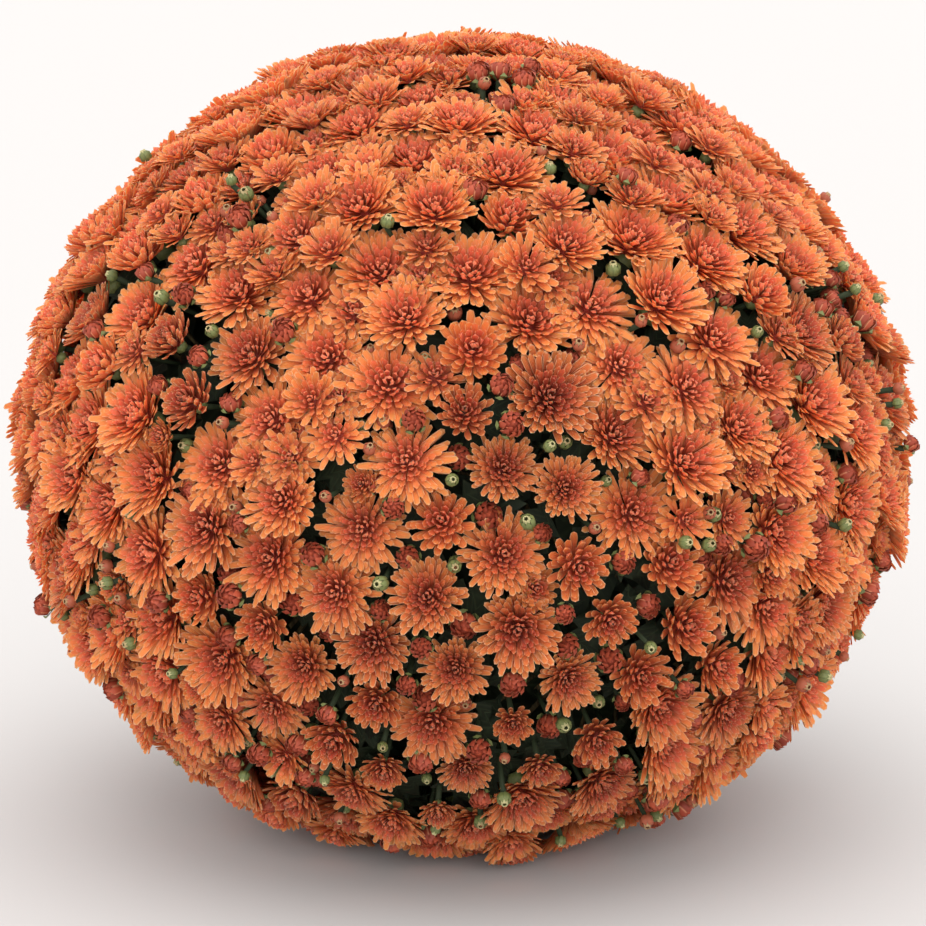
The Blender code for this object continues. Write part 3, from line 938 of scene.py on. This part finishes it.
def bloomsOnSolids(number):
    rng = random.Random(number)
    looks = [bloomOnSolid(rng, point, reach) for point, reach in bloomPlaces(number)]
    for point in gapPlaces(number):
        if rng.random() < spray["gapBlooms"] * (1 - opennessAt(point)):
            looks.append(bloomBetween(rng, point, rng.choice(spray["gapKinds"]), "gap"))
    return looks


def bloomsInValleys(number, around):
    rng = random.Random(spray["valleySeed"] + number)
    looks = []
    for point in valleyPlaces(number):
        openness = opennessAt(point)
        if roomAt(point, around + looks) > between(*spray["leastRoom"], openness):
            looks.append(bloomBetween(rng, point, "smallBloom", "valley"))
        elif rng.random() < spray["valleyCups"] * (1 - openness):
            looks.append(bloomBetween(rng, point, "cupBloom", "valley"))
    return looks


def buildSpray(number, looks):
    bm = newShape()
    for look in looks:
        matrix = standing(look["centre"], look["facing"], look["radius"], look["turn"])
        addCopy(bm, look["shape"], matrix, look["tone"])
    return addPiece(f"blooms_{number:02d}", bm, [finishes["petal"]], sprayNode(number))


# Leafy branches
branch = {
    "seed": 1000,
    "startRadius": 0.02214,        # just inside the crown, where the branches meet
    "forkShare": 0.62,             # of the ball's radius, where the branch parts into twigs
    "woodRadii": (0.0046, 0.0032),
    "woodSides": 8,
    "twigRadii": (0.0020, 0.0015),
    "twigSides": 3,
    "stalkRadii": (0.0013, 0.0016),
    "stalkSides": 4,
    "stalkFoot": 0.046,            # depth
    "stalkDrop": 0.36,             # in shares of the bloom's radius, as are the next two
    "calyx": (0.24, 0.18),         # half width and height
    "calyxDrop": 0.38,
}

leaves = {
    "perBloom": {"leaf": 2, "innerLeaf": 1},
    "perGapBud": 2,
    "turnJitter": 0.4,
    "lean": 0.35,
    # depths of the foot and the tip, and the length
    "leaf": {"foot": (0.034, 0.046), "tip": (0.020, 0.032), "length": (0.036, 0.052)},
    "innerLeaf": {"foot": (0.060, 0.090), "tip": (0.050, 0.090), "length": (0.075, 0.100)},
}

gapBuds = {
    "radii": {"openingBud": (0.0046, 0.0068), "greenBud": (0.0030, 0.0043)},
    "lean": 0.35,
    "facingUp": 0.3,
    "stalkTop": 0.9,               # in shares of the bud's radius, under its centre
    "openShare": 0.6,              # of the buds, the others are green
    "companions": 12,              # tried round each bud, and kept where they stand clear
    "companionOpenShare": 0.4,
    "companionDepths": (-0.003, 0.020),
    "spread": (0.0108, 0.018),     # from a bud to its companions
    "room": 1.05,
    "covered": 0.62,               # of a bloom's radius: no bud grows inside this
    "aside": 0.012,                # how far a bud stands from a bloom that fills its gap
    "raised": (0.000, 0.010),
    "valleyBuds": (0.75, 0.85),    # share of the free valleys with a bud, dense and open
    "valleyDepths": (-0.002, 0.015),
}


def addRod(bm, start, end, radii, slot, sides):
    along = end - start
    matrix = Matrix.Translation((start + end) / 2) @ along.to_track_quat("Z", "Y").to_matrix().to_4x4()
    made = bmesh.ops.create_cone(
        bm, cap_ends=True, segments=sides, radius1=radii[0], radius2=radii[1],
        depth=along.length, matrix=matrix,
    )
    for face in {f for vert in made["verts"] for f in vert.link_faces}:
        face.material_index = slot
        face.smooth = len(face.verts) == 4


def addStalk(bm, fork, foot, top):
    # a stalk, and the twig that brings it from the branch's fork
    addRod(bm, foot, top, branch["stalkRadii"], branchSlots["leaf"], branch["stalkSides"])
    addRod(bm, fork, foot, branch["twigRadii"], branchSlots["wood"], branch["twigSides"])


def addCalyx(bm, look):
    halfWidth, halfHeight = (share * look["radius"] for share in branch["calyx"])
    centre = look["centre"] - look["facing"] * look["radius"] * branch["calyxDrop"]
    place = standing(centre, look["facing"], 1.0, 0.0)
    addSmallBall(bm, halfWidth, halfHeight, place, branchSlots["green"])


def tangentHeading(normal, turn):
    side = normal.orthogonal().normalized()
    return side * math.cos(turn) + normal.cross(side) * math.sin(turn)


def addLeaf(bm, rng, kindName, point, heading):
    kind = leaves[kindName]
    footDepth, tipDepth, length = (rng.uniform(*kind[measure]) for measure in ("foot", "tip", "length"))
    foot = atDepth(point, footDepth)
    tip = atDepth(foot + heading * length, tipDepth)
    ahead = (tip - foot).normalized()
    beside = (outwardsAt(foot) + randomLean(rng, leaves["lean"])).cross(ahead).normalized()
    above = ahead.cross(beside)
    turned = Matrix((ahead, beside, above)).transposed().to_4x4()
    addCopy(bm, rng.choice(shapes[kindName]), Matrix.Translation(foot) @ turned @ Matrix.Scale(length, 4))


def addLeaves(bm, rng, point, kindName, count):
    start = rng.uniform(0, math.tau)
    for k in range(count):
        turn = start + math.tau * k / count + jitter(rng, leaves["turnJitter"])
        addLeaf(bm, rng, kindName, point, tangentHeading(outwardsAt(point), turn))


def isCovered(tip, blooms):
    for look in blooms:
        away = tip - look["centre"]
        if away.length < look["radius"]:
            aside = away - look["facing"] * away.dot(look["facing"])
            if aside.length < look["radius"] * gapBuds["covered"]:
                return True
    return False


def touchesBud(tip, radius, buds):
    room = gapBuds["room"]
    return any((tip - other).length < (radius + otherRadius) * room for other, otherRadius in buds)


def addBud(bm, rng, tip, fork, openShare, buds, blooms=()):
    # with no blooms to keep clear of, it is one of the solids' own buds, and is always kept
    kindName = "openingBud" if rng.random() < openShare else "greenBud"
    radius = rng.uniform(*gapBuds["radii"][kindName])
    if blooms and (touchesBud(tip, radius, buds) or isCovered(tip, blooms)):
        return
    buds.append((tip, radius))
    normal = outwardsAt(tip)
    lean = randomLean(rng, gapBuds["lean"])
    facing = (normal + skywardAt(normal) * gapBuds["facingUp"] + lean).normalized()
    centre = tip - facing * radius
    addCopy(bm, rng.choice(shapes[kindName]), standing(centre, facing, radius, rng.uniform(0, math.tau)))
    foot = atDepth(tip, branch["stalkFoot"])
    addStalk(bm, fork, foot, centre - facing * radius * gapBuds["stalkTop"])


def besideBloom(tip, centres):
    for centre in centres:
        if (tip - centre).length < finding["budsApart"]:
            away = tip - centre
            away -= outwardsAt(tip) * away.dot(outwardsAt(tip))
            return tip + away.normalized() * gapBuds["aside"]
    return tip


def addBloomStalks(bm, rng, fork, looks):
    for look in looks:
        addCalyx(bm, look)
        foot = atDepth(look["centre"], branch["stalkFoot"])
        addStalk(bm, fork, foot, look["centre"] - look["facing"] * look["radius"] * branch["stalkDrop"])
        if look["place"] == "solid":
            for kindName, count in leaves["perBloom"].items():
                addLeaves(bm, rng, look["centre"], kindName, count)


def addGapBuds(bm, rng, fork, number, looks, allLooks, buds):
    gapBlooms = [look["centre"] for look in looks if look["place"] == "gap"]
    for place in budPlaces(number):
        tip = besideBloom(place, gapBlooms) + outwardsAt(place) * rng.uniform(*gapBuds["raised"])
        addBud(bm, rng, tip, fork, gapBuds["openShare"], buds)
        addLeaves(bm, rng, tip, "leaf", leaves["perGapBud"])
        for k in range(gapBuds["companions"]):
            heading = tangentHeading(outwardsAt(tip), rng.uniform(0, math.tau))
            companion = tip + heading * rng.uniform(*gapBuds["spread"])
            companion = atDepth(companion, rng.uniform(*gapBuds["companionDepths"]))
            addBud(bm, rng, companion, fork, gapBuds["companionOpenShare"], buds, allLooks)


def addValleyBuds(bm, rng, fork, number, looks, allLooks, buds):
    for point in valleyPlaces(number):
        pick = rng.random()
        tip = atDepth(point, rng.uniform(*gapBuds["valleyDepths"]))
        isFree = all(look["foundAt"] != point for look in looks)
        if isFree and pick < between(*gapBuds["valleyBuds"], opennessAt(point)):
            addBud(bm, rng, tip, fork, gapBuds["openShare"], buds, allLooks)


def buildBranch(number, looks, allLooks, buds):
    rng = random.Random(branch["seed"] + number)
    bm = newShape()
    middle = sum((look["centre"] for look in looks), Vector()) / len(looks)
    outwards = atDepth(middle, 0) - ballCentre
    start = ballCentre + outwards.normalized() * branch["startRadius"]
    fork = ballCentre + outwards * branch["forkShare"]
    addRod(bm, start, fork, branch["woodRadii"], branchSlots["wood"], branch["woodSides"])
    addBloomStalks(bm, rng, fork, looks)
    addGapBuds(bm, rng, fork, number, looks, allLooks, buds)
    addValleyBuds(bm, rng, fork, number, looks, allLooks, buds)
    materials = [finishes["leaf"], finishes["green"], finishes["bark"], finishes["bud"]]
    return addPiece(f"branch_{number:02d}", bm, materials, branchNode(number))


sprayCount = sum(name.startswith("bloom_spray_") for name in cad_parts)
sprayLooks = {number: bloomsOnSolids(number) for number in range(1, sprayCount + 1)}
for number, looks in sprayLooks.items():
    looks += bloomsInValleys(number, [look for others in sprayLooks.values() for look in others])
allLooks = [look for looks in sprayLooks.values() for look in looks]
print("blooms placed:", len(allLooks))
petalTotal = sum(buildSpray(number, looks) for number, looks in sprayLooks.items())
print("blooms built:", petalTotal, "triangles")
buds = []
branchTotal = sum(buildBranch(number, looks, allLooks, buds) for number, looks in sprayLooks.items())
print("branches built:", branchTotal, "triangles, with", len(buds), "buds")

# The stem keeps its solid
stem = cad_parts["woody_stem"]
stem.data.materials.clear()
stem.data.materials.append(finishes["bark"])

# Floor, light and camera
studio = {
    "floorSize": 40.0,
    "floorColour": fromScreen(190, 187, 185),
    "floorFinish": {"roughness": 0.9, "specular": 0.1},
    "worldStrength": 1.46,
    # strength, width in the sky, which softens the shadow, and tilt from straight above towards the viewer
    "lights": {
        "key": (1.02, math.radians(50), math.radians(12)),
        "fill": (1.35, math.radians(40), math.radians(70)),
    },
}
floorMesh = bmesh.new()
bmesh.ops.create_grid(floorMesh, x_segments=1, y_segments=1, size=studio["floorSize"] / 2)
floorData = bpy.data.meshes.new("floor")
floorMesh.to_mesh(floorData)
floorMesh.free()
floor = bpy.data.objects.new("floor", floorData)
bpy.context.scene.collection.objects.link(floor)
floorMaterial = newFinish("paleFloor", studio["floorFinish"])[0]
floorMaterial.node_tree.nodes["Principled BSDF"].inputs["Base Color"].default_value = studio["floorColour"]
floorData.materials.append(floorMaterial)

world = bpy.data.worlds.new("softbox")
bpy.context.scene.world = world
world.use_nodes = True
background = world.node_tree.nodes["Background"]
background.inputs["Color"].default_value = (1, 1, 1, 1)
background.inputs["Strength"].default_value = studio["worldStrength"]

for lightName, (strength, width, tilt) in studio["lights"].items():
    lightData = bpy.data.lights.new(lightName, "SUN")
    lightData.energy = strength
    lightData.angle = width
    light = bpy.data.objects.new(lightName, lightData)
    light.rotation_euler = (tilt, 0, 0)
    bpy.context.scene.collection.objects.link(light)

view = {
    "distance": 2.3,
    "elevation": math.radians(12.5),
    "lens": 162.0,
    "aimBelowCentre": 0.011,
}
lensData = bpy.data.cameras.new("camera")
lensData.lens = view["lens"]
camera = bpy.data.objects.new("camera", lensData)
aim = ballCentre - Vector((0, 0, view["aimBelowCentre"]))
back = Vector((0, -math.cos(view["elevation"]), math.sin(view["elevation"])))
camera.location = aim + back * view["distance"]
camera.rotation_euler = (-back).to_track_quat("-Z", "Y").to_euler()
bpy.context.scene.collection.objects.link(camera)
bpy.context.scene.camera = camera
bpy.context.scene.view_settings.view_transform = "Standard"
print("stage, light and camera set")
